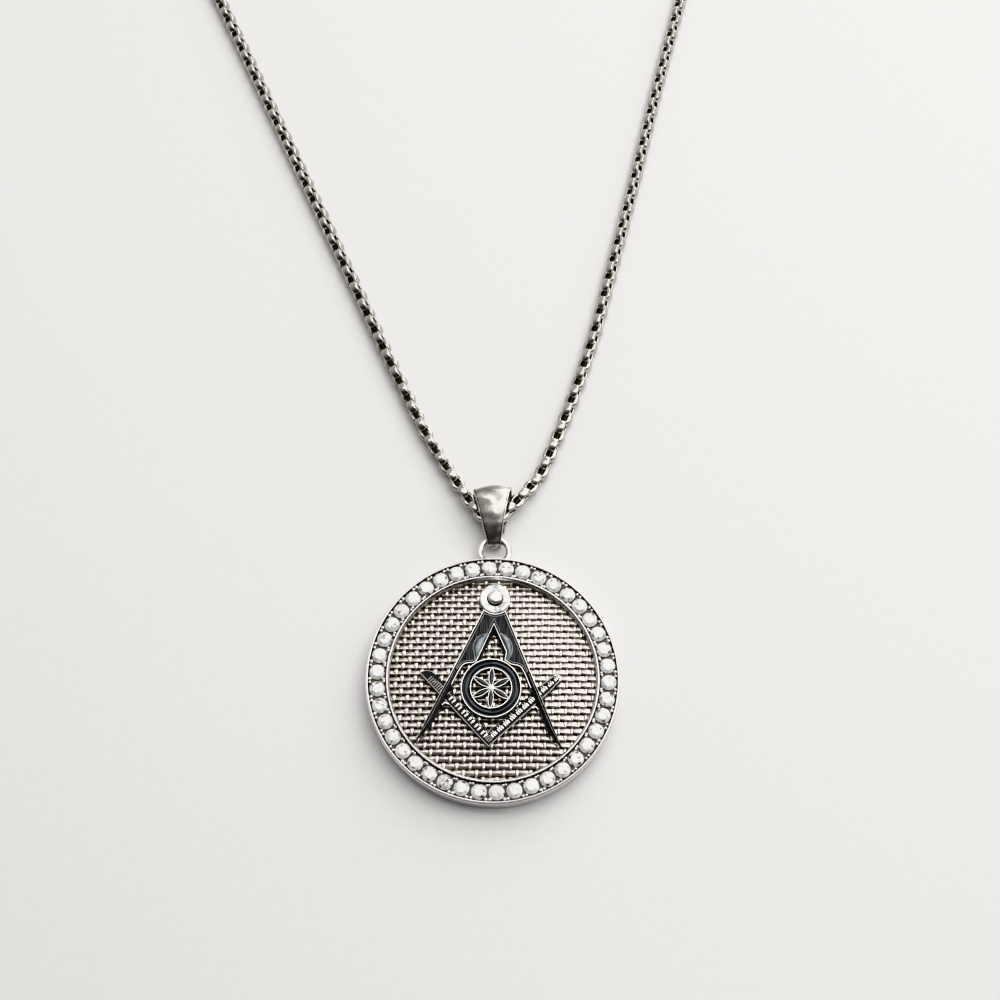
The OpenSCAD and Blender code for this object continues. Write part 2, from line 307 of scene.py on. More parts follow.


# Woven panel
# Plain-woven stainless wire, cut to a disc and pressed into the recess. The weft is a rolled bar from side to
# side; the warp goes over and under it and shows as short bright knobs. Towards the right the bars climb more
# from under one knob to the next.

# Drawn steel wire, darker the lower it lies and bright on its crests: partly oxide left in the hollows of the
# weave, partly painted shade there. Its grain is drawn coarser than the real drawing marks, so that it shows.
wire_grain_mm = 0.25
wear_and_shade_from_z = 1.64
wear_and_shade_to_z = 2.08
woven_wire, tree, place = new_finish("stainless_wire_woven")
# Painted shade by height: the wire goes from dark to light as it rises from the hollows to the crests
height = add_node(tree, "SeparateXYZ", {}, {0: place}).outputs["Z"]
wear_and_shade = add_node(tree, "MapRange", {"From Min": wear_and_shade_from_z / 1000, "From Max": wear_and_shade_to_z / 1000},
                  {"Value": height})
grain = add_node(tree, "TexNoise", {"Scale": 1000 / wire_grain_mm, "Detail": 3}, {"Vector": place})
uneven = add_node(tree, "Math", {"operation": "MULTIPLY_ADD", 1: 0.5, 2: -0.25}, {0: grain})
tone_mix = add_node(tree, "Math", {"operation": "ADD", "use_clamp": True}, {0: wear_and_shade, 1: uneven})
shade = add_node(tree, "Mix", {"data_type": "RGBA", 6: srgb("#6a6057"), 7: srgb("#faf5ee")}, {0: tone_mix})
haze = add_node(tree, "MapRange", {"To Min": 0.42, "To Max": 0.2}, {"Value": tone_mix})
bump = add_node(tree, "Bump", {"Strength": 0.15, "Distance": 0.03 / 1000}, {"Height": grain})
shader = add_node(tree, "BsdfPrincipled", {"Metallic": 1},
                  {"Base Color": shade, "Roughness": haze, "Normal": bump})
add_node(tree, "OutputMaterial", {}, {"Surface": shader})

column_pitch = 0.984
column_0 = 0.22
row_pitch = 0.978
row_0 = 2.92
row_slack = 0.0022
row_slope = 0.047
weave_z = 1.75
weave_r = recess_r + 0.1
weave_reach = 20
weft_crimp = 0.03
weft_climb = 0.0085
climb_lines = ((-1, 9), (-0.3, 1.5), (15, -16))
weft_slant = 0.014
panel_tilt = 0.003
weft_steps = 6
weft_bar = [(-0.45, -0.2), (-0.49, -0.12), (-0.36, -0.01), (-0.18, 0.07), (-0.02, 0.12), (0.05, 0.14),
            (0.15, 0.14), (0.22, 0.08), (0.29, -0.06), (0.29, -0.2)]
weft_width = 1.12
weft_press = 0.004
weft_low = (0, 0.15, 0.13, 0.06, -0.04, -0.09, -0.13, -0.1, -0.03, 0)
weft_broad = (0, 0.1, 0.11, 0.06, 0.01, 0, -0.01, -0.03, 0, 0)
low_from = -5
blend_run = 6
warp_narrow = 0.022
warp_crimp = 0.27
warp_steps = 7
warp_strip = [(-0.2, -0.1), (-0.25, 0.03), (-0.21, 0.1), (-0.12, 0.125),
              (0.12, 0.125), (0.21, 0.1), (0.25, 0.03), (0.2, -0.1)]
crest_flat = 2.4
knob_taper = 0.3
sway_mm = 0.025
sway_rate = 0.7


def crossing(i, j):
    """Place where column i of the warp meets row j of the weft, which opens up towards the lower edge."""
    x = column_0 + column_pitch * i
    y = row_0 + row_pitch * j - row_slack * j * j + row_slope * x
    return Vector((x, y, weave_z + panel_tilt * y))


weft, warp = [], []
for n in range(-weave_reach, weave_reach + 1):
    row, column, press, swell = [], [], [], []
    row_sway, column_sway = random.uniform(0, 2 * math.pi), random.uniform(0, 2 * math.pi)
    for k in range(-weave_reach * weft_steps, weave_reach * weft_steps + 1):
        i = k / weft_steps
        here = crossing(i, n)
        along_bar = (i + n + 1) % 2 / 2
        # The climb tips each bar, so that the wire's painted height shade darkens its lower end
        climb = min(start + rise * along_bar for start, rise in climb_lines)
        slant = weft_slant * max(0, here.x) * (0.5 - along_bar)
        bend = weft_crimp * math.cos(math.pi * (i + n)) + weft_climb * max(0, here.x) * climb
        here += Vector((0, sway_mm * math.sin(sway_rate * i + row_sway) + slant, bend))
        if here.xy.length < weave_r:
            row.append(here)
            press.append(weft_width + weft_press * here.x)
    for k in range(-weave_reach * warp_steps, weave_reach * warp_steps + 1):
        j = k / warp_steps
        here = crossing(n, j)
        wave = max(-1, min(1, -crest_flat * math.cos(math.pi * (n + j))))
        narrow = 1 - warp_narrow * max(0, here.x)
        here += Vector((sway_mm * math.sin(sway_rate * j + column_sway), 0, warp_crimp * narrow * wave))
        if here.xy.length < weave_r:
            column.append(here)
            taper = 1 - knob_taper * math.sin(math.pi * (n + j)) * (wave > 0)
            swell.append(taper * narrow)
    if len(row) > weft_steps:
        points, faces, finishes = sweep(row, weft_bar, woven_wire, scale=press)
        # Reshaping the bars towards the bottom and the right also changes their colour through that painted
        # height shade
        for i, p in enumerate(points):
            low = min(1, max(0, (low_from - p.y) / blend_run))
            broad = min(1, max(0, p.x / blend_run - low))
            p.z += low * (1 - broad) * weft_low[i % len(weft_bar)] + broad * weft_broad[i % len(weft_bar)]
        weft.append((points, faces, finishes))
    if len(column) > warp_steps:
        warp.append(sweep(column, warp_strip, woven_wire, scale=swell))
make_piece("woven_weft", weft, "woven_steel", "mesh_disc", sharp_from=50)
make_piece("woven_warp", warp, "woven_steel", "mesh_disc", sharp_from=50)


# Stones
# Round brilliants of clear zirconia in one row, each with a flat table, a crown of small facets and a deep
# pointed underside with a silvered foil. Each sits in its own drilled seat, a hair away from its neighbours.

# Cubic zirconia, cut and polished, with painted light on its facets: most are painted white for the light
# that the stone throws back, with a faint bloom from the polishing; some are painted pale grey or left
# clearer, as painted shade for the dark of the seat seen through the stone.
bloom_mm = 0.7
lit_and_shaded_facet_looks = (("cubic_zirconia_painted_glint_facet", "#f7f6f3", "#ffffff", 0.05),
               ("cubic_zirconia_painted_soft_glint_facet", "#d6d4cf", "#f6f5f1", 0.22),
               ("cubic_zirconia_clear_painted_shade_facet", "#7d7b77", "#c2c0bc", 0.65))
facet_finishes = [
    mottled_finish(facet_name, patch_mm=bloom_mm,
                   look={"Base Color": (dim, white), "Roughness": 0.02, "IOR": 2.17,
                         "Transmission Weight": clear}, detail=2)
    for facet_name, dim, white, clear in lit_and_shaded_facet_looks
]
facet_shares = (0.72, 0.93, 1)

# Silvered foil on the stones' undersides: it throws the light back up, white and soft
silver_foil = mottled_finish("silvered_foil_backing", patch_mm=0.4,
                             look={"Base Color": "#fbfaf7", "Metallic": 1, "Roughness": (0.02, 0.12)},
                             detail=2)

stone_n = 42
stone_r = 1.175
stone_row_r = (channel_r0 + channel_r1) / 2
table_z = box_mm("stone_row")[1].z
crown_h = 0.34
girdle_h = 0.04
pavilion_h = 0.9
table_r = 0.57 * stone_r
star_r = 0.78 * stone_r
lower_r = 0.25 * stone_r
lean_up_to = math.radians(2.5)
lean_turns = 7


def brilliant(turn, centre, lean):
    """Shell of one stone, its table up at centre, turned about its own axis and leaning a little."""
    eighth = math.pi / 4
    inner = math.cos(eighth / 2)
    star_z = crown_h * (stone_r - star_r * inner) / (stone_r - table_r)
    lower_z = pavilion_h * (1 - lower_r * inner / stone_r)

    def at(r, a, z):
        point = Matrix.Rotation(turn, 3, "Z") @ Vector((r * math.cos(a), r * math.sin(a), z))
        return centre + lean @ point

    table = [at(table_r, i * eighth, 0) for i in range(8)]
    star = [at(star_r, (i + 0.5) * eighth, star_z - crown_h) for i in range(8)]
    girdle = [at(stone_r, i * eighth / 2, -crown_h) for i in range(16)]
    under = [at(stone_r, i * eighth / 2, -crown_h - girdle_h) for i in range(16)]
    lower = [at(lower_r, (i + 0.5) * eighth, -crown_h - girdle_h - lower_z) for i in range(8)]
    culet = [at(0, 0, -crown_h - girdle_h - pavilion_h)]
    points = table + star + girdle + under + lower + culet + [at(0, 0, 0)]
    crown, pavilion = [], []
    for i in range(8):
        n, g = (i + 1) % 8, 16 + 2 * i
        g_mid, g_next = g + 1, 16 + (2 * i + 2) % 16
        crown += [(57, i, n), (i, 8 + i, n), (i, 8 + (i - 1) % 8, g, 8 + i),
                  (8 + i, g, g_mid), (8 + i, g_mid, g_next),
                  (g, g + 16, g_mid + 16, g_mid), (g_mid, g_mid + 16, g_next + 16, g_next)]
        pavilion += [(48 + i, g_mid + 16, g + 16), (48 + i, g_next + 16, g_mid + 16),
                     (56, 48 + (i - 1) % 8, g + 16, 48 + i)]
    finishes = []
    for _ in crown:
        lot = random.random()
        finishes.append(facet_finishes[sum(lot > share for share in facet_shares)])
    return points, crown + pavilion, finishes + [silver_foil] * len(pavilion)


stones = []
for i in range(stone_n):
    place_a = 2 * math.pi * (i + 0.5) / stone_n
    centre = Vector((stone_row_r * math.sin(place_a), stone_row_r * math.cos(place_a), table_z))
    tip_axis = Vector((math.cos(lean_turns * place_a), math.sin(lean_turns * place_a), 0))
    lean = Matrix.Rotation(random.uniform(-lean_up_to, lean_up_to), 3, tip_axis)
    stones.append(brilliant(random.uniform(0, math.pi / 4), centre, lean))
make_piece("stones", stones, "white_stone", "stone_row", sharp_from=1)


# Bead prongs
# Small beads of the frame's own steel, raised with a graver and rounded over the edges of two neighbouring
# stones. A pair stands at each end of every gap, on the thin bar of metal that the cutter left between the
# seats.

# Steel raised with a graver and rounded with a beading tool: small bright domes, with tool marks drawn coarse
# enough to show
beaded_steel = mottled_finish("stainless_steel_beaded", patch_mm=0.2,
                              look={"Base Color": "#f6f2ec", "Metallic": 1, "Roughness": 0.2},
                              detail=2, relief=0.25, relief_mm=0.03)

# The ground that the cutter left between the seats: scraped grey and uneven, painted dark overall and darker
# in its hollows as painted shade between the stones
cut_ground_and_shade = mottled_finish("stainless_steel_cut_ground_painted_shade", patch_mm=0.3,
                           look={"Base Color": ("#12100e", "#6c665e"), "Metallic": 0.9, "Roughness": 0.35},
                           relief=0.6, relief_mm=0.08)

ground_z = 2.7
ground_reach = math.radians(84)
ground_steps = 12
rooted_z = channel_z - 0.1
seat_room = 0.07
bead_r = 0.32
bead_sizes = (0.75, 1.1)
bead_foot = 1.1
bead_stray = 0.06
bead_sides = 12
bead_step_deg = 18
bead_top = 3.14
beads_in_gap = ((1.06, -0.3), (1.06, 0.3), (-1.06, -0.16), (-1.0, 0.2))


def slab(outline, low, high, finish, sides=None):
    """Shell of a flat plate with that outline."""
    n = len(outline)
    points = [Vector((p.x, p.y, low)) for p in outline] + [Vector((p.x, p.y, high)) for p in outline]
    faces = [tuple(range(n)), tuple(range(n, 2 * n))]
    faces += [(i, (i + 1) % n, n + (i + 1) % n, n + i) for i in range(n)]
    return points, faces, [finish] * 2 + [sides or finish] * n


beads = []
for i in range(stone_n):
    place_a = 2 * math.pi * i / stone_n
    outward = Vector((math.sin(place_a), math.cos(place_a)))
    across = Vector((outward.y, -outward.x))
    for off, aside in beads_in_gap:
        r = bead_r * random.uniform(*bead_sizes)
        dome = [(r * math.cos(math.radians(a)), bead_top - r + r * math.sin(math.radians(a)), beaded_steel)
                for a in range(0, 90, bead_step_deg)]
        section = [(0, rooted_z, beaded_steel), (r * bead_foot, rooted_z, beaded_steel), *dome,
                   (0, bead_top, beaded_steel)]
        centre = outward * (stone_row_r + off) + across * (aside + random.uniform(-bead_stray, bead_stray))
        beads.append(revolve(section, bead_sides, (centre.x, centre.y, 0)))
    ground = []
    for end in (-1, 1):
        a = place_a + end * math.pi / stone_n
        stone_c = Vector((math.sin(a), math.cos(a))) * stone_row_r
        facing = math.atan2(-end * across.y, -end * across.x)
        for k in range(ground_steps + 1):
            spoke_a = facing - ground_reach + 2 * ground_reach * k / ground_steps
            ground.append(stone_c + Vector((math.cos(spoke_a), math.sin(spoke_a))) * (stone_r + seat_room))
    # Painted shade: the sides of the ground take the dark finish
    beads.append(slab(ground, rooted_z, ground_z, cut_ground_and_shade, dark_skin_and_shade))
make_piece("bead_prongs", beads, "polished_steel", "stone_row")


# Set square
# A flat steel casting, blackened and then rubbed grey on its thin outline and bright on the raised marks of
# its scale. It lies on the woven panel, under the legs of the compasses.

# Blackened steel with slanting brush lines, drawn coarser than the real ones so that they show: a neutral
# dark grey, a little glossy
brush_mm = 0.2
blackened, tree, place = new_finish("steel_blackened_brushed")
slanted = add_node(tree, "Mapping", {"Rotation": (0, 0, math.radians(50)), "Scale": (1, 0.06, 1)},
                   {"Vector": place})
brush = add_node(tree, "TexNoise", {"Scale": 1000 / brush_mm, "Detail": 5}, {"Vector": slanted})
lines = add_node(tree, "MapRange", {"From Min": 0.3, "From Max": 0.7}, {"Value": brush})
shade = add_node(tree, "Mix", {"data_type": "RGBA", 6: srgb("#0c0c0d"), 7: srgb("#484849")}, {0: lines})
bump = add_node(tree, "Bump", {"Strength": 0.35, "Distance": 0.02 / 1000}, {"Height": brush})
shader = add_node(tree, "BsdfPrincipled", {"Metallic": 0.9, "Roughness": 0.4},
                  {"Base Color": shade, "Normal": bump})
add_node(tree, "OutputMaterial", {}, {"Surface": shader})

# The steel's darkest places, where the black was never rubbed off: near black with a soft sheen. It is also
# laid on as painted shade in the rivet's groove and along the window's walls.
deep_black = mottled_finish("steel_blackened_matt", patch_mm=0.3,
                            look={"Base Color": ("#0d0d0e", "#242426"), "Metallic": 0.6, "Roughness": 0.38})

# Bare steel on the raised lines, rubbed on a flat stone: white and bright, with the rubs drawn coarse enough
# to show
rubbed_steel = mottled_finish("stainless_steel_rubbed_bright", patch_mm=0.2,
                              look={"Base Color": "#f9f7f3", "Metallic": 1, "Roughness": (0.2, 0.4)},
                              detail=2)

# The same steel on lower lines, rubbed less: a soft grey that only shines where it faces the light
dull_steel = mottled_finish("stainless_steel_rubbed_dull", patch_mm=0.3,
                            look={"Base Color": ("#85827d", "#cfcbc5"), "Metallic": 1, "Roughness": 0.34})

square_low, square_high = box_mm("square")
compass_low, compass_high = box_mm("compasses")
axis_x = (compass_low.x + compass_high.x) / 2
corner = Vector((axis_x, square_low.y))
emblem_z = square_low.z
square_z = square_high.z
arm_l = 15.2
arm_w = 1.6
line_w = 0.15
line_h = 0.14
square_line_w = 0.12
mark_h = 0.2
square_body_drop = 0.13
end_line_up = 0.02
blade_line_drop = 0.06


def arc(centre, r, a0, a1, steps):
    """Points of an arc from angle a0 to a1, in degrees."""
    angles = [math.radians(a0 + (a1 - a0) * k / steps) for k in range(steps + 1)]
    return [Vector((centre[0] + r * math.cos(a), centre[1] + r * math.sin(a))) for a in angles]


def inset(outline, d):
    """A closed outline moved inwards by d, with its sharpest corners kept near their places."""
    area = sum(a.x * b.y - b.x * a.y for a, b in zip(outline, outline[1:] + outline[:1]))
    moved = []
    for i, here in enumerate(outline):
        before = (here - outline[i - 1]).normalized()
        after = (outline[(i + 1) % len(outline)] - here).normalized()
        normal = Vector((-before.y - after.y, before.x + after.x)) * math.copysign(1, area)
        reach = min(3, 2 / max(normal.length, 0.01))
        moved.append(here + normal.normalized() * d * reach)
    return moved


def line(outline, top, finish, width=line_w, height=line_h, closed=True):
    """Shell of a raised line along an outline, with its crest at that height."""
    crest = width * 0.28
    rounding = height * 0.45
    section = [(-width / 2, -height), (-width / 2, -rounding), (-crest, 0),
               (crest, 0), (width / 2, -rounding), (width / 2, -height)]
    return sweep([Vector((p.x, p.y, top)) for p in outline], section, finish, closed)


def arm_point(s, w, side):
    """Point of an arm of the square, s along its outer edge from the corner and w in from that edge."""
    return corner + Vector((side * (s - w), s + w)) / math.sqrt(2)


def scale_mark(s0, s1, w0, w1, side, finish):
    """Shell of one raised mark of the scale, between two distances along the arm and two across it."""
    outline = [arm_point(s, w, side) for s, w in ((s0, w0), (s1, w0), (s1, w1), (s0, w1))]
    return slab(outline, square_z - mark_h, square_z, finish)


end_r = 0.38 * arm_w
narrow_from = 0.8 * arm_l
blade_r = 0.72 * arm_w
blade_line_c = arm_l - 2.1 * arm_w
blade_line_from = 9.4
round_end = [arm_point(p.x, p.y, 1) for p in arc((arm_l - end_r, arm_w / 2), end_r, -90, 90, 8)]
blade_end = [arm_point(p.x, p.y, -1) for p in arc((arm_l - arm_w, 0), arm_w, 90, 10, 6)]
square_outline = ([arm_point(0, 0, 1), arm_point(narrow_from, 0, 1)] + round_end
                  + [arm_point(narrow_from, arm_w, 1), arm_point(arm_w, arm_w, 1)] + blade_end
                  + [arm_point(arm_l, 0, -1)])

# A grey line follows the outer edge from the blade's end to the round end, which has a bright line of its own
square_edge = inset(square_outline, square_line_w / 2)
outer_edge = square_edge[-len(blade_end) - 1:] + square_edge[:len(round_end) + 3]
end_edge = inset(square_outline, square_line_w)[2:len(round_end) + 2]
blade_edge = [arm_point(blade_line_from, blade_r, -1)]
blade_edge += [arm_point(p.x, p.y, -1) for p in arc((blade_line_c, 0), blade_r, 90, 25, 6)]
square_shells = [
    slab(square_outline, emblem_z, square_z - square_body_drop, deep_black),
    line(outer_edge, square_z, dull_steel, square_line_w, closed=False),
    line(end_edge, square_z + end_line_up, rubbed_steel, width=0.14, closed=False),
    line(blade_edge, square_z - blade_line_drop, dull_steel, width=0.08, height=0.1, closed=False),
]

# The left arm's marks are grey at their outer ends, and joined in pairs at their inner ends. Thin hatches
# cross the blade and the corner.
scale_from = 1.4
pair_n = 6
pair_pitch = 1.4
pair_gap = 0.62
mark_w = 0.25
grey_end = (0.44, 0.74)
bright_run = (0.72, 1.42)
pair_joint = (1.16, 1.4)
for k in range(pair_n):
    s = scale_from + pair_pitch * k
    for start in (s, s + pair_gap):
        square_shells.append(scale_mark(start, start + mark_w, *grey_end, -1, dull_steel))
        square_shells.append(scale_mark(start, start + mark_w, *bright_run, -1, rubbed_steel))
    square_shells.append(scale_mark(s, s + pair_gap + mark_w, *pair_joint, -1, dull_steel))
hatch_from = 9.9
hatch_n = 11
hatch_pitch = 0.36
hatch_w = 0.08
hatch_across = (0.25, 1.4)
hatch_shorter = 0.04
corner_hatches = (0.5, 0.8, 1.1)
corner_across = (0.45, 1.3)
for k in range(hatch_n):
    start = hatch_from + hatch_pitch * k
    hatch_to = hatch_across[1] - hatch_shorter * k
    square_shells.append(scale_mark(start, start + hatch_w, hatch_across[0], hatch_to, -1, dull_steel))
for start in corner_hatches:
    square_shells.append(scale_mark(start, start + hatch_w, *corner_across, -1, dull_steel))

# The right arm's marks stand in threes, each three on a grey bar at their inner ends
three_n = 11
three_pitch = 1.27
tooth_pitch = 0.36
tooth_w = 0.2
tooth_from = 0.55
tooth_to = 1.38
end_tooth_to = 1.2
three_joint_w = 0.33
for k in range(three_n):
    s = scale_from + three_pitch * k
    joined = tooth_to if s < narrow_from else end_tooth_to
    three_to = s + 2 * tooth_pitch + tooth_w
    for start in (s, s + tooth_pitch, s + 2 * tooth_pitch):
        square_shells.append(scale_mark(start, start + tooth_w, tooth_from, joined, 1, rubbed_steel))
    square_shells.append(scale_mark(s, three_to, joined - three_joint_w, joined, 1, dull_steel))
make_piece("set_square", square_shells, "emblem_steel", "square")


# Compasses
# The second casting of the emblem: two legs and the web that joins them under the head, with a small window.
# The outlines stand up bright, the web between them is brushed and the legs are ground to two-faced blades.

# Steel polished to a blue-grey mirror on the two crescents beside the window, darker in clouds
blue_steel = mottled_finish("steel_polished_blue_grey", patch_mm=0.8,
                            look={"Base Color": ("#30373b", "#868d91"), "Metallic": 1, "Roughness": 0.24})

shoulder_w = 3.3
leg_w = 1.0
taper_start = 0.86
seat_gap = 0.2
web_gap = 0.15
compass_h = 1.1
compass_line_w = 0.13
compass_z = emblem_z + compass_h
boss_low, boss_high = box_mm("head_boss")
head = Vector(((boss_low.x + boss_high.x) / 2, (boss_low.y + boss_high.y) / 2))
head_r = (boss_high.x - boss_low.x) / 2
centre_low, centre_high = box_mm("centre_ring")
ring_c = Vector(((centre_low.x + centre_high.x) / 2, (centre_low.y + centre_high.y) / 2))
rosette_r = (centre_high.x - centre_low.x) / 2
seat_r = head_r + seat_gap
seat_a = math.degrees(math.acos(shoulder_w / 2 / seat_r))
shoulder = Vector((axis_x + shoulder_w / 2, head.y - math.sqrt(seat_r ** 2 - (shoulder_w / 2) ** 2)))
point_tip = Vector((compass_high.x, compass_low.y))
leg_dir = (point_tip - shoulder).normalized()
leg_l = (point_tip - shoulder).length
leg_in = Vector((leg_dir.y, -leg_dir.x))
leg_edge = shoulder + leg_w * leg_in
arch_r = abs((leg_edge - ring_c).dot(leg_in))
arch_foot_a = math.degrees(math.atan2(-leg_in.y, -leg_in.x))
arch_ease_a = 37
arch_top_a = 55
arch_ease_steps = 5
web_rim_r = rosette_r + web_gap
taper_at = leg_edge + leg_l * taper_start * leg_dir
web_foot = {1: 1.8, -1: 2.3}
window_top = Vector((axis_x, 8.1))
window_knee = Vector((axis_x + 2, 3.95))


def flipped(points):
    """The same points on the other side of the emblem's axis, in the opposite order."""
    return [Vector((2 * axis_x - p.x, p.y)) for p in reversed(points)]


# The window was pierced by hand: its right edge has a knee, and its left edge runs straight and further out
arch = arc(ring_c, arch_r, arch_foot_a, arch_ease_a, 12)
for k in range(1, arch_ease_steps):
    share = k / arch_ease_steps
    eased_r = web_rim_r + (arch_r - web_rim_r) * (1 + math.cos(math.pi * share)) / 2
    a = math.radians(arch_ease_a + (arch_top_a - arch_ease_a) * share)
    arch.append(ring_c + Vector((math.cos(a), math.sin(a))) * eased_r)
web_rim = {side: arc(ring_c, web_rim_r, arch_top_a, math.degrees(math.acos(foot / web_rim_r)), 5)
           for side, foot in web_foot.items()}
window_edge = {1: [window_top, window_knee, web_rim[1][-1]], -1: [window_top, flipped(web_rim[-1])[0]]}
head_seat = arc(head, seat_r, 180 + seat_a, 360 - seat_a, 14)
foot_share = (arch[0] - leg_edge).dot(leg_dir) / leg_l
foot_out = shoulder + leg_dir * leg_l * foot_share


def compass_outline(leg_end):
    """Outline down to leg_end on both legs, round the arches and the window."""
    right = [shoulder] + leg_end + arch + web_rim[1] + [window_knee, window_top]
    left = [shoulder] + leg_end + arch + web_rim[-1]
    return head_seat[:-1] + right + flipped(left)[:-1]


# The outline's line is bright a little over half way down the legs. From there it is grey along their outer
# edges and black along the inner ones.
bright_down_to = 0.56
bright_past = 0.3
black_within = 0.3
body_drop = 0.15
web_in = 0.3
web_t = 0.22
web_drop = 0.08
web_line_in = 0.4
web_line_drop = 0.03
outer_mid = shoulder + leg_dir * leg_l * bright_down_to
inner_mid = leg_edge + leg_dir * leg_l * bright_down_to
whole_outline = compass_outline([outer_mid, point_tip, taper_at, inner_mid])
web_outline = compass_outline([foot_out])
edge_line = inset(whole_outline, line_w / 2)
edge_points, edge_faces, _ = line(edge_line, compass_z, rubbed_steel, compass_line_w)
edge_finishes = []
for face in edge_faces:
    middle = sum((edge_points[i] for i in face), Vector((0, 0, 0))) / len(face)
    across = (Vector((axis_x + abs(middle.x - axis_x), middle.y)) - shoulder).dot(leg_in)
    if max(edge_points[i].y for i in face) > outer_mid.y + bright_past:
        edge_finishes.append(rubbed_steel)
    else:
        edge_finishes.append(deep_black if across > black_within * leg_w else dull_steel)
compass_shells = [
    slab(whole_outline, emblem_z, compass_z - body_drop, deep_black),
    (edge_points, edge_faces, edge_finishes),
    slab(inset(web_outline, web_in), compass_z - web_drop - web_t, compass_z - web_drop, blackened),
    line(inset(web_outline, web_line_in), compass_z - web_line_drop, dull_steel, width=0.06, height=0.07),
]

# The legs' two faces meet in a bright ridge, nearer to the outer edge
ridge_share = 0.38
face_edges = (0.16, 0.84)
face_drop = 0.14
crest_drop = 0.03
ridge_drop = 0.02
blade_h = 0.4
ridge_steps = 14
taper_share = (taper_start - foot_share) / (1 - foot_share)
for side in (-1, 1):
    ridge, points = [], []
    for k in range(ridge_steps):
        t = k / ridge_steps
        outer = foot_out.lerp(point_tip, t)
        if t < taper_share:
            inner = arch[0].lerp(taper_at, t / taper_share)
        else:
            inner = taper_at.lerp(point_tip, (t - taper_share) / (1 - taper_share))
        crest = outer.lerp(inner, ridge_share)
        ridge.append(Vector((axis_x + side * (crest.x - axis_x), crest.y)))
        rows = ((outer.lerp(inner, face_edges[0]), compass_z - face_drop), (crest, compass_z - crest_drop),
                (outer.lerp(inner, face_edges[1]), compass_z - face_drop), (crest, compass_z - blade_h))
        points += [Vector((axis_x + side * (p.x - axis_x), p.y, z)) for p, z in rows]
    faces = tube_faces(ridge_steps, len(rows), False)
    compass_shells.append((points, faces, [deep_black] * len(faces)))
    ridge_line = line(ridge, compass_z - ridge_drop, dull_steel, width=0.05, height=0.08, closed=False)
    compass_shells.append(ridge_line)

# A dark plate fills each corner under a crossing, edged by the bright lines that run into it
fillet_l = 0.9
fillet_pull = 0.3
fillet_in = 0.1
fillet_line_up = 0.02
arm_dir = Vector((1, 1)).normalized()
from_leg_and_arm = Matrix((leg_dir, -arm_dir)).transposed()
down_leg = (from_leg_and_arm.inverted() @ (corner - leg_edge)).x
peak = leg_edge + leg_dir * down_leg
ends = (peak + leg_dir * fillet_l, peak - arm_dir * fillet_l)
middle = peak + (ends[0] - peak) * fillet_pull + (ends[1] - peak) * fillet_pull
for side in (-1, 1):
    fillet = [Vector((axis_x + side * (p.x - axis_x), p.y)) for p in (peak, ends[0], middle, ends[1])]
    compass_shells.append(slab(fillet, emblem_z + fillet_in, square_z - fillet_in, deep_black))
    fillet_z = square_z + fillet_line_up
    compass_shells.append(line(fillet[1:], fillet_z, rubbed_steel, width=0.2, height=0.3, closed=False))

# The crescents are domed skins between the window's edge and an arc of their own, which has a raised line
crescent_h = compass_high.z - compass_z + 0.08
crescent_steps = 16
crescent_across = 8
left_rounds = 12
crescent_sunk = 0.1
crescent_full_w = 0.8
dome_blunt = 0.7
inner_ends_at = 0.98
foot_aside = 0.25
foot_up = 0.1
shade_wall_w = 0.16
shade_wall_h = 0.5
crescents = {
    -1: (Vector((axis_x - 0.9, 4.55)), 2.05, 83, 199),
    1: (Vector((axis_x + 0.5, 4.37)), 2.44, 78, -53),
}


def along_edge(edge, share):
    """Point of a line of points at that share of its length."""
    lengths = [(b - a).length for a, b in zip(edge, edge[1:])]
    left = share * sum(lengths)
    for a, b, length in zip(edge, edge[1:], lengths):
        if left <= length:
            return a.lerp(b, left / length)
        left -= length
    return edge[-1]


def skin_faces(rows, across):
    """Faces of an open skin through that many rows of points, each with that many steps across."""
    starts = [i * (across + 1) + k for i in range(rows - 1) for k in range(across)]
    return [(a, a + 1, a + across + 2, a + across + 1) for a in starts]


for side, (crescent_c, crescent_r, a_top, a_low) in crescents.items():
    edge = window_edge[side]
    rounds = crescent_steps if side == 1 else left_rounds
    outer_edge = arc(crescent_c, crescent_r, a_top, a_low, rounds)
    foot = edge[-1] + Vector((side * foot_aside, foot_up))
    outer_edge += [outer_edge[-1].lerp(foot, k / (crescent_steps - left_rounds))
                   for k in range(1, crescent_steps - rounds + 1)]
    from_share = (window_top.y - outer_edge[0].y) / sum((b - a).length for a, b in zip(edge, edge[1:]))
    points = []
    for i, b in enumerate(outer_edge):
        share = from_share + (inner_ends_at - from_share) * i / crescent_steps
        a = along_edge(edge, share) + Vector((side * shade_wall_w, 0))
        bulge = min(1, (b - a).length / crescent_full_w)
        for k in range(crescent_across + 1):
            p = a.lerp(b, k / crescent_across)
            rise = math.sin(math.pi * k / crescent_across) ** dome_blunt * bulge
            points.append(Vector((p.x, p.y, compass_z - crescent_sunk + rise * crescent_h)))
    faces = skin_faces(len(outer_edge), crescent_across)
    compass_shells.append((points, faces, [blue_steel] * len(faces)))
    compass_shells.append(line(outer_edge, compass_z, dull_steel, width=0.08, height=0.16, closed=False))
    # Painted shade: a black wall along each edge of the window stands for the shade inside it
    wall = [Vector((p.x - side * shade_wall_w, p.y)) for p in edge]
    compass_shells.append(line(wall, emblem_z + shade_wall_h, deep_black, width=0.36, height=shade_wall_h, closed=False))
make_piece("compasses_casting", compass_shells, "emblem_steel", "compasses")


# Head washer
# A turned steel washer, dished towards a domed rivet that pins the two legs together. The groove round the
# rivet is painted black as painted shade, and the washer's face has been knocked about.

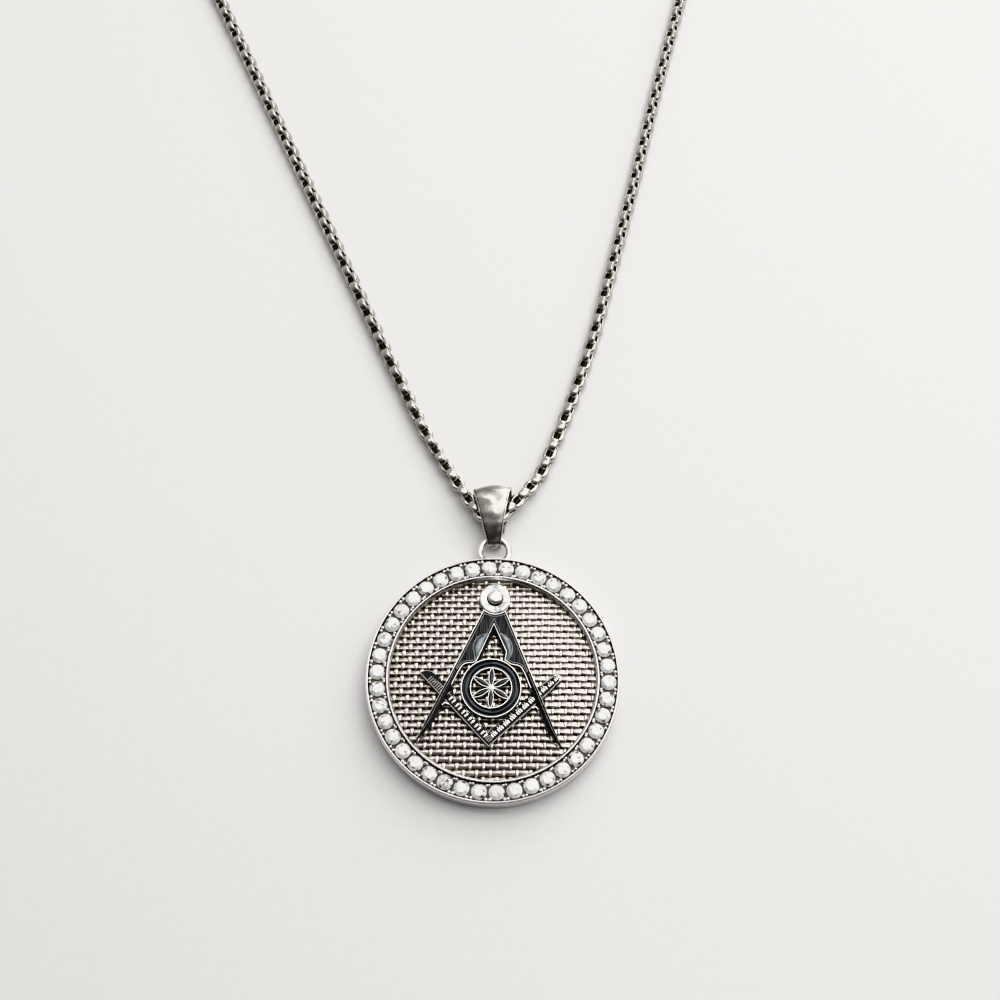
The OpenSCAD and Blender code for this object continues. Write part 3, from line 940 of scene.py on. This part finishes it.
# Turned steel with a satin face: pale, with greyer, knocked patches and the rings left by the tool, which are
# drawn coarser than the real ones so that they show
turning_mm = 1.00531
wave_radians = 20
patch_mm = 1.1
satin_steel, tree, place = new_finish("stainless_steel_turned_satin")
centred = add_node(tree, "Mapping", {"Location": (-head.x / 1000, -head.y / 1000, 0)}, {"Vector": place})
ring_scale = 1000 * 2 * math.pi / (wave_radians * turning_mm)
rings = add_node(tree, "TexWave", {"wave_type": "RINGS", "rings_direction": "Z", "Scale": ring_scale,
                                   "Distortion": 0.6}, {"Vector": centred})
patches = add_node(tree, "TexNoise", {"Scale": 1000 / patch_mm, "Detail": 4, "Distortion": 0.6},
                   {"Vector": place})
tone_mix = add_node(tree, "MapRange", {"From Min": 0.38, "From Max": 0.58}, {"Value": patches})
shade = add_node(tree, "Mix", {"data_type": "RGBA", 6: srgb("#8f9294"), 7: srgb("#f4f2ee")}, {0: tone_mix})
haze = add_node(tree, "MapRange", {"To Min": 0.34, "To Max": 0.5}, {"Value": patches})
knocks = add_node(tree, "Bump", {"Strength": 0.5, "Distance": 0.12 / 1000}, {"Height": patches})
bump = add_node(tree, "Bump", {"Strength": 0.12, "Distance": 0.02 / 1000},
                {"Height": rings.outputs["Fac"], "Normal": knocks})
shader = add_node(tree, "BsdfPrincipled", {"Metallic": 1},
                  {"Base Color": shade, "Roughness": haze, "Normal": bump})
add_node(tree, "OutputMaterial", {}, {"Surface": shader})

washer_r = head_r + 0.08
washer_z = 0.92
washer_dish = 0.1
washer_fall = 0.02
washer_flat_r = head_r - 0.45
turned_sides = 72
rivet_r = 1.1
hole_r = 1.22
hole_deep = 0.5
rivet_up = 0.09
rivet_foot_z = 0.2
dome_z = boss_high.z - emblem_z
dome_flat = 0.6
dome_full = 0.75
# Painted shade: the hole round the rivet and the side of the rivet's foot are black
washer_section = rounded([
    (0, 0, 0, satin_steel),
    (washer_r, 0, 0, satin_steel),
    (washer_r, washer_z, 0.26, satin_steel),
    (washer_flat_r, washer_z - washer_fall, 0.15, satin_steel),
    (hole_r, washer_z - washer_dish, 0.04, deep_black),
    (hole_r, washer_z - hole_deep, 0, deep_black),
    (0, washer_z - hole_deep, 0, deep_black),
], steps=5)
dome = [(rivet_r * math.cos(math.radians(a)) ** dome_flat,
         washer_z + (dome_z - washer_z) * math.sin(math.radians(a)) ** dome_full, beaded_steel)
        for a in range(0, 90, 9)]
rivet_section = [(0, rivet_foot_z, deep_black), (rivet_r, rivet_foot_z, deep_black), *dome,
                 (0, dome_z, beaded_steel)]
washer_shells = [revolve(washer_section, turned_sides, (head.x, head.y, emblem_z)),
                 revolve(rivet_section, turned_sides, (head.x, head.y + rivet_up, emblem_z))]
make_piece("head_washer", washer_shells, "satin_steel", "head_boss")


# Middle ring and rosette
# A cast ring with a six-petalled rosette, struck with compasses. Its outlines are rubbed bright, and the band
# and the petals between them are filled with dark enamel.

# Vitreous enamel, fired and polished: black with a faint blue-grey depth, a glassy surface
enamel = mottled_finish("vitreous_enamel_black", patch_mm=1.4,
                        look={"Base Color": ("#07080a", "#1c232a"), "Roughness": 0.07, "IOR": 1.55},
                        detail=2)

band_w = 1.5
centre_z = centre_high.z - emblem_z
rosette_at = (ring_c.x, ring_c.y, emblem_z)
ring_in = rosette_r - band_w
band_drop = 0.36
round_steps = 96
body = [(ring_in, 0, deep_black), (rosette_r, 0, deep_black), (rosette_r, centre_z - band_drop, deep_black),
        (ring_in, centre_z - band_drop, deep_black)]
rosette_shells = [revolve(body, round_steps, rosette_at)]


def circle_line(r, width):
    """Shell of a raised line round the middle ring."""
    crest = width * 0.28
    corners = ((-width / 2, 0.4), (width / 2, 0.4), (width / 2, 0.07),
               (crest, 0), (-crest, 0), (-width / 2, 0.07))
    return revolve([(r + x, centre_z - drop, rubbed_steel) for x, drop in corners], round_steps, rosette_at)


rosette_shells += [circle_line(rosette_r - line_w / 2, line_w), circle_line(ring_in + line_w / 2, line_w)]

# The band's enamel is domed nearly up to the height of its lines, and each petal's is a lower dome
band_in, band_out = ring_in + line_w, rosette_r - line_w
band_steps = 14
band_foot_z = centre_z - 0.42
band_top_drop = 0.03
band_section = [(band_out, band_foot_z, enamel)]
for k in range(band_steps, -1, -1):
    sag = band_drop * (1 - math.sin(math.pi * k / band_steps))
    r = band_in + (band_out - band_in) * k / band_steps
    band_section.append((r, centre_z - band_top_drop - sag, enamel))
band_section.append((band_in, band_foot_z, enamel))
enamel_shells = [revolve(band_section, round_steps, rosette_at)]
petal_line = 0.11
petal_r = ring_in + 0.3
petal_c = Vector((petal_r / 2, petal_r * math.sin(math.pi / 3)))
petal_steps = 14
petal_across = 6
petal_margin = 0.1
petal_body_drop = 0.14
petal_drop = 0.13
petal_swell = 0.2
petal_z = emblem_z + centre_z
for i in range(6):
    turn = Matrix.Rotation(math.radians(30 + 60 * i), 2)
    upper = arc((petal_c.x, -petal_c.y), petal_r, 120, 60, petal_steps)
    lower_side = [Vector((p.x, -p.y)) for p in upper]
    petal = [ring_c + turn @ p for p in upper + lower_side[-2:0:-1]]
    rosette_shells.append(slab(petal, emblem_z, petal_z - petal_body_drop, deep_black))
    rosette_shells.append(line(inset(petal, petal_line / 2), petal_z, rubbed_steel, petal_line, height=0.16))
    points = []
    for a, b in list(zip(upper, lower_side))[1:-1]:
        for k in range(petal_across + 1):
            p = ring_c + turn @ a.lerp(b, petal_margin + (1 - 2 * petal_margin) * k / petal_across)
            rise = math.sin(math.pi * k / petal_across) * (a - b).length
            points.append(Vector((p.x, p.y, petal_z - petal_drop + petal_swell * rise)))
    faces = skin_faces(petal_steps - 1, petal_across)
    enamel_shells.append((points, faces, [enamel] * len(faces)))
hub = [(0, 0, deep_black), (0.5, 0, deep_black), (0.5, centre_z - 0.08, rubbed_steel),
       (0.4, centre_z, rubbed_steel), (0, centre_z + 0.03, rubbed_steel)]
rosette_shells.append(revolve(hub, 32, rosette_at))
make_piece("rosette_ring", rosette_shells, "emblem_steel", "centre_ring")
make_piece("rosette_enamel", enamel_shells, "enamel", "centre_ring")


# Bail
# A tapered strip of steel, folded into a loop that is wide where the chain goes through and narrow where it
# holds the soldered ring. Its outer face is crowned, with a bright bevel and a groove painted dark along both
# edges as painted shade.

# Steel strip, hammered round and buffed: soft wide reflections, paler and greyer over shallow dents, and the
# faint drag of the buff, drawn coarser than the real one so that it shows
drag_mm = 0.12
buff_mm = 0.5
dent_mm = 2.4
buffed_steel, tree, place = new_finish("stainless_steel_strip_buffed")
dragged = add_node(tree, "Mapping", {"Scale": (1, 0.15, 0.15)}, {"Vector": place})
drag = add_node(tree, "TexNoise", {"Scale": 1000 / drag_mm, "Detail": 2}, {"Vector": dragged})
cloud = add_node(tree, "TexNoise", {"Scale": 1000 / buff_mm, "Detail": 3}, {"Vector": place})
haze = add_node(tree, "MapRange", {"To Min": 0.18, "To Max": 0.34}, {"Value": cloud})
dents = add_node(tree, "TexNoise", {"Scale": 1000 / dent_mm, "Detail": 1}, {"Vector": place})
patchy = add_node(tree, "MapRange", {"From Min": 0.38, "From Max": 0.62}, {"Value": dents})
shade = add_node(tree, "Mix", {"data_type": "RGBA", 6: srgb("#8e8b86"), 7: srgb("#dedbd5")}, {0: patchy})
dented = add_node(tree, "Bump", {"Strength": 0.7, "Distance": 0.4 / 1000}, {"Height": dents})
bump = add_node(tree, "Bump", {"Strength": 0.1, "Distance": 0.02 / 1000}, {"Height": drag, "Normal": dented})
shader = add_node(tree, "BsdfPrincipled", {"Metallic": 1},
                  {"Base Color": shade, "Roughness": haze, "Normal": bump})
add_node(tree, "OutputMaterial", {}, {"Surface": shader})

strip_t = 0.5
foot_r = 1.4
fold_r = 2.45
bail_top_w = 5.8
bail_foot_w = 1.8
bail_l = 6.2
bail_roll = math.radians(5)
bail_turn = math.radians(2.2)
foot_in = 0.27
foot_c = Vector((ring_y + ring_r - foot_in, ring_z))
fold_c = Vector((foot_c.x + bail_l, fold_r + bail_top_w / 2 * math.sin(bail_roll)))
tilt = math.atan2(fold_c.y - foot_c.y, fold_c.x - foot_c.x)
wrap = math.asin((fold_r - foot_r) / (fold_c - foot_c).length)
front_bulge = 0.4
bevel_w = 0.2
bevel_groove = 0.1
crown_share = 0.16
face_steps = 5


def strip_round(centre, r, a0, a1, steps):
    """Points and outward directions round one fold, seen from the side."""
    spokes = [Vector((math.cos(a0 + (a1 - a0) * k / steps), math.sin(a0 + (a1 - a0) * k / steps)))
              for k in range(steps + 1)]
    return [(centre + spoke * r, spoke) for spoke in spokes]


foot_round = strip_round(foot_c, foot_r, tilt + math.pi / 2 + wrap, tilt + 3 * math.pi / 2 - wrap, 20)
fold_round = strip_round(fold_c, fold_r, tilt - math.pi / 2 - wrap, tilt + math.pi / 2 + wrap, 28)
under_steps = 12
over_steps = 16
under_run = [(foot_round[-1][0].lerp(fold_round[0][0], k / under_steps), fold_round[0][1])
             for k in range(1, under_steps)]
over_run = []
for k in range(1, over_steps):
    share = k / over_steps
    flat = fold_round[-1][0].lerp(foot_round[0][0], share)
    over_run.append((flat + foot_round[0][1] * front_bulge * math.sin(math.pi * share), foot_round[0][1]))
strip_path = foot_round + under_run + fold_round + over_run
widest_y = fold_c.x + fold_r / 2
narrowest_y = foot_c.x - foot_r
bail_lie = Matrix.Rotation(bail_turn, 3, "Z") @ Matrix.Rotation(-bail_roll, 3, "Y")

# Across the strip: its crowned face, the groove painted dark as painted shade, the bevel and the rounded
# edge, then the flat inside
points = []
for here, outward in strip_path:
    share = min(1, max(0, (here.x - narrowest_y) / (widest_y - narrowest_y)))
    w = (bail_foot_w + (bail_top_w - bail_foot_w) * share) / 2
    face_w = w - bevel_w - bevel_groove
    crown = crown_share * face_w
    section = [(face_w * k / face_steps, crown * (k / face_steps) ** 2)
               for k in range(-face_steps, face_steps + 1)]
    section += [(w - bevel_w - 0.05, crown + 0.12), (w - bevel_w, crown - 0.04), (w - 0.06, crown - 0.02),
                (w, crown + 0.08), (w, strip_t - 0.06), (w - 0.06, strip_t)]
    section += [(-x, depth) for x, depth in reversed(section[2 * face_steps + 1:])]
    for x, depth in section:
        side_point = here - outward * depth
        lying = bail_lie @ Vector((x, side_point.x - foot_c.x, side_point.y - foot_c.y))
        points.append(ring_askew @ (lying + Vector((0, foot_c.x, foot_c.y))))
sides = len(section)
# Painted shade: the faces of the grooves take the dark finish
shade_groove_faces = (2 * face_steps, 2 * face_steps + 1, sides - 2, sides - 1)
faces = tube_faces(len(strip_path), sides, True)
finishes = [dark_skin_and_shade if k in shade_groove_faces else buffed_steel for k in range(sides)] * len(strip_path)
make_piece("bail_strip", [(points, faces, finishes)], "polished_steel", "bail", sharp_from=28)


# Chain
# A round box chain: short wide links bent from crowned strip, each turned a quarter against the next, and
# tumbled bright. It lies on the ground, rises into the bail and closes in a loop at the far side.

# Tumbled stainless steel: bright all over, with soft uneven reflections
tumbled_steel = mottled_finish("stainless_steel_tumbled", patch_mm=0.5,
                               look={"Base Color": "#bdb9b3", "Metallic": 1, "Roughness": (0.06, 0.2)},
                               relief=0.12, relief_mm=0.04)

# The chain's middle line in millimetres, from one end of the clasp through the bail to its other end
chain_route = [
    (-28, 278, 1.5), (-31, 278, 1.5), (-45, 274.5, 1.1), (-60.5, 266, 1.1), (-73.5, 253, 1.1),
    (-82.5, 238, 1.1), (-87.5, 221, 1.1), (-88, 203.5, 1.1), (-83, 185, 1.1), (-74, 164, 1.1),
    (-62, 139, 1.1), (-49.5, 114, 1.1), (-37, 89, 1.1), (-27, 69, 1.1), (-17, 49, 1.1),
    (-12, 39.5, 1.1), (-7.4, 32.4, 1.25), (-4.7, 28.5, 1.6), (-2.9, 26.3, 2), (-0.9, 25.6, 2.2),
    (1, 27, 2.25), (3.1, 29.5, 2), (5.5, 32.8, 1.3), (8, 39, 1.1), (11, 48, 1.1),
    (14, 59, 1.1), (17, 73, 1.1), (20.5, 90, 1.1), (24, 108, 1.1), (29.5, 134, 1.1),
    (35, 160, 1.1), (40.5, 186, 1.1), (44, 203.5, 1.1), (43.5, 221, 1.1), (38.5, 238, 1.1),
    (29.5, 253, 1.1), (16.5, 266, 1.1), (1, 274.5, 1.1), (-13, 278, 1.5), (-16, 278, 1.5),
]
chain_route = [Vector(p) for p in chain_route]
chain_r = 1.1


def slope(i):
    """Direction of the chain's curve at a point of its route."""
    if i == 0 or i == len(chain_route) - 1:
        a, b = (0, 1) if i == 0 else (i - 1, i)
        return (chain_route[b] - chain_route[a]).normalized()
    before, after = chain_route[i] - chain_route[i - 1], chain_route[i + 1] - chain_route[i]
    return (after * before.length / after.length + before * after.length / before.length) / (
        before.length + after.length)


chain_line = []
fine = 24
for i in range(len(chain_route) - 1):
    here, ahead = chain_route[i], chain_route[i + 1]
    d = (ahead - here).length
    for k in range(fine):
        t = k / fine
        p = ((2 * t ** 3 - 3 * t ** 2 + 1) * here + (t ** 3 - 2 * t ** 2 + t) * d * slope(i)
             + (3 * t ** 2 - 2 * t ** 3) * ahead + (t ** 3 - t ** 2) * d * slope(i + 1))
        chain_line.append(Vector((p.x, p.y, max(p.z, chain_r))))
chain_line.append(chain_route[-1])
run = [0]
for a, b in zip(chain_line, chain_line[1:]):
    run.append(run[-1] + (b - a).length)

link_l = 2.7
link_w = 2.2
link_wall = 0.6
link_band = 1.3
link_steps = 22
link_round = 0.85
edge_thinner = 0.24
crown_drop = 0.07
shade_core_w = 0.7
shade_core_every = 6
pitch_wanted = 1.7
link_n = round(run[-1] / pitch_wanted)
link_pitch = run[-1] / link_n
link_loop = []
for k in range(link_steps):
    a = 2 * math.pi * k / link_steps
    c, s = math.cos(a), math.sin(a)
    link_loop.append(Vector(((link_l - link_wall) / 2 * math.copysign(abs(c) ** link_round, c),
                             (link_w - link_wall) / 2 * math.copysign(abs(s) ** link_round, s))))

# Across a link's strip: its crowned outer face, then its edges and the flat inner face
link_points = []
for k, here in enumerate(link_loop):
    tangent = (link_loop[(k + 1) % link_steps] - link_loop[k - 1]).normalized()
    outward = Vector((tangent.y, -tangent.x))
    half = link_band / 2 * (1 - edge_thinner * abs(outward.x) ** 2)
    wall = link_wall / 2
    section = [(v * half, wall - crown_drop * v * v) for v in (-0.85, -0.45, 0, 0.45, 0.85)]
    section += [(half, wall - 0.2), (half, -wall + 0.08), (half - 0.1, -wall),
                (-half + 0.1, -wall), (-half, -wall + 0.08), (-half, wall - 0.2)]
    for across, u in section:
        p = here + outward * u
        link_points.append(Vector((p.x, p.y, across)))
# Painted shade: each link's flat inner face takes the dark finish
shaded_inner_face = 7
link_faces = tube_faces(link_steps, len(section), True)
link_finishes = [dark_skin_and_shade if i == shaded_inner_face else tumbled_steel for i in range(len(section))] * link_steps

# The strands part where the route is nearest to the medallion, and each turns about its own line from there
bail_place = min(chain_route, key=lambda p: p.y)
bail_run = run[min(range(len(chain_line)), key=lambda i: (chain_line[i] - bail_place).length)]
twist_run = 60
twist_stray = 4
left_twist, right_twist = -38, 35
links, at = [], 0
for n in range(link_n):
    s = (n + 0.5) * link_pitch
    while run[at + 1] < s:
        at += 1
    share = (s - run[at]) / (run[at + 1] - run[at])
    here = chain_line[at].lerp(chain_line[at + 1], share)
    along = (chain_line[min(at + 2, len(run) - 1)] - chain_line[max(at - 1, 0)]).normalized()
    side = along.cross(Vector((0, 0, 1))).normalized()
    up = side.cross(along)
    strand_twist = left_twist if s < bail_run else right_twist
    twist = strand_twist * min(1, abs(s - bail_run) / twist_run) + random.uniform(-twist_stray, twist_stray)
    turn = math.radians(twist) + math.pi / 2 * (n % 2)
    turned = Matrix((along, side, up)).transposed() @ Matrix.Rotation(turn, 3, "X")
    links.append(([here + turned @ p for p in link_points], link_faces, link_finishes))

# A dark wire runs along the chain's middle inside the links: painted shade, which keeps the insides dark
links.append(sweep(chain_line[::shade_core_every], wire_section(shade_core_w, sides=8), dark_skin_and_shade))
make_piece("chain_links", links, "chain_steel", "chain", sharp_from=50)


# Clasp
# A plain steel barrel, turned with coned ends, that closes the chain behind the neck. The photograph doesn't
# reach it.

clasp_low, clasp_high = box_mm("clasp")
barrel_r = (clasp_high.y - clasp_low.y) / 2
barrel_l = clasp_high.x - clasp_low.x
neck_l = 1.2
cone_l = 1.9
groove_at = barrel_l / 2
groove_half = 0.15
groove_floor_half = 0.06
groove_floor_r = barrel_r - 0.12
# Painted shade: the floor of the barrel's groove takes the dark finish
barrel_section = rounded([
    (0, 0, 0, polished_steel),
    (chain_r, 0, 0.15, polished_steel),
    (chain_r, neck_l, 0.1, polished_steel),
    (barrel_r, cone_l, 0.25, polished_steel),
    (barrel_r, groove_at - groove_half, 0.05, polished_steel),
    (groove_floor_r, groove_at - groove_floor_half, 0, dark_skin_and_shade),
    (groove_floor_r, groove_at + groove_floor_half, 0, polished_steel),
    (barrel_r, groove_at + groove_half, 0.05, polished_steel),
    (barrel_r, barrel_l - cone_l, 0.25, polished_steel),
    (chain_r, barrel_l - neck_l, 0.1, polished_steel),
    (chain_r, barrel_l, 0.15, polished_steel),
    (0, barrel_l, 0, polished_steel),
], steps=4)
points, faces, finishes = revolve(barrel_section, steps=48)
barrel_at = Vector((clasp_low.x, (clasp_low.y + clasp_high.y) / 2, (clasp_low.z + clasp_high.z) / 2))
points = [barrel_at + Vector((p.z, p.y, p.x)) for p in points]
make_piece("barrel_clasp", [(points, faces, finishes)], "polished_steel", "clasp")


# Floor, lights and camera
# A pale matt sheet under the necklace. A strip light over the left half draws thin highlights, and a wide
# softbox over the right half lights its slopes fully.

# Matt paper, sized and pressed: near white, with no gloss
paper = mottled_finish("paper_matt_white", patch_mm=1.5,
                       look={"Base Color": ("#f0efed", "#f6f5f3"), "Roughness": 0.9})

floor_half = 1.5
floor_corners = [(-floor_half, -floor_half, 0), (floor_half, -floor_half, 0), (floor_half, floor_half, 0),
                 (-floor_half, floor_half, 0)]
floor_mesh = bpy.data.meshes.new("floor")
floor_mesh.from_pydata(floor_corners, [], [(0, 1, 2, 3)])
floor_mesh.materials.append(paper)
floor = bpy.data.objects.new("floor", floor_mesh)
bpy.context.scene.collection.objects.link(floor)

# The room is darker on the near side and lighter behind
world = bpy.data.worlds.new("studio")
bpy.context.scene.world = world
world.use_nodes = True
tree = world.node_tree
tree.nodes.clear()
direction = add_node(tree, "TexCoord").outputs["Generated"]
behind = add_node(tree, "SeparateXYZ", {}, {0: direction}).outputs["Y"]
rise = add_node(tree, "MapRange", {"From Min": -0.6, "From Max": 0.5, "To Min": 0.08, "To Max": 0.78},
                {"Value": behind})
glow = add_node(tree, "Background", {"Color": srgb("#f4f3f2")}, {"Strength": rise})
add_node(tree, "OutputWorld", {}, {"Surface": glow})


def softbox(name, at, aim, size, brightness):
    """A rectangular white light of that face brightness, turned to what it lights, with all lengths in mm."""
    light = bpy.data.lights.new(name, "AREA")
    light.shape = "RECTANGLE"
    light.size, light.size_y = size[0] / 1000, size[1] / 1000
    light.energy = brightness * math.pi * light.size * light.size_y
    lamp = bpy.data.objects.new(name, light)
    lamp.location = Vector(at) / 1000
    lamp.rotation_euler = (Vector(aim) - Vector(at)).to_track_quat("-Z", "Y").to_euler()
    bpy.context.scene.collection.objects.link(lamp)


softbox("strip_left", (-125, 125, 420), (-125, 125, 0), (250, 110), 2.1)
softbox("patch_left", (-85, 270, 420), (-85, 270, 0), (110, 90), 2)
softbox("wide_right", (185, 200, 420), (185, 200, 0), (370, 480), 2.4)
softbox("back_right", (300, 760, 330), (0, 0, 0), (640, 460), 2.6)
softbox("side_right", (380, 60, 200), (0, 10, 0), (160, 240), 2)

camera_at = Vector((-0.14, -66.65, 234.55)) / 1000
looks_at = Vector((-0.14, 29.79, 0)) / 1000
camera_roll = math.radians(2.6)
focal_px = 1608
picture_px = 1000
camera = bpy.data.cameras.new("camera")
camera.sensor_width = 36
camera.lens = focal_px / picture_px * camera.sensor_width
camera.clip_start = 0.01
camera_body = bpy.data.objects.new("camera", camera)
camera_body.location = camera_at
facing = (looks_at - camera_at).to_track_quat("-Z", "Y")
camera_body.rotation_euler = (facing @ Quaternion((0, 0, 1), camera_roll)).to_euler()
bpy.context.scene.collection.objects.link(camera_body)
bpy.context.scene.camera = camera_body
bpy.context.scene.view_settings.view_transform = "Khronos PBR Neutral"
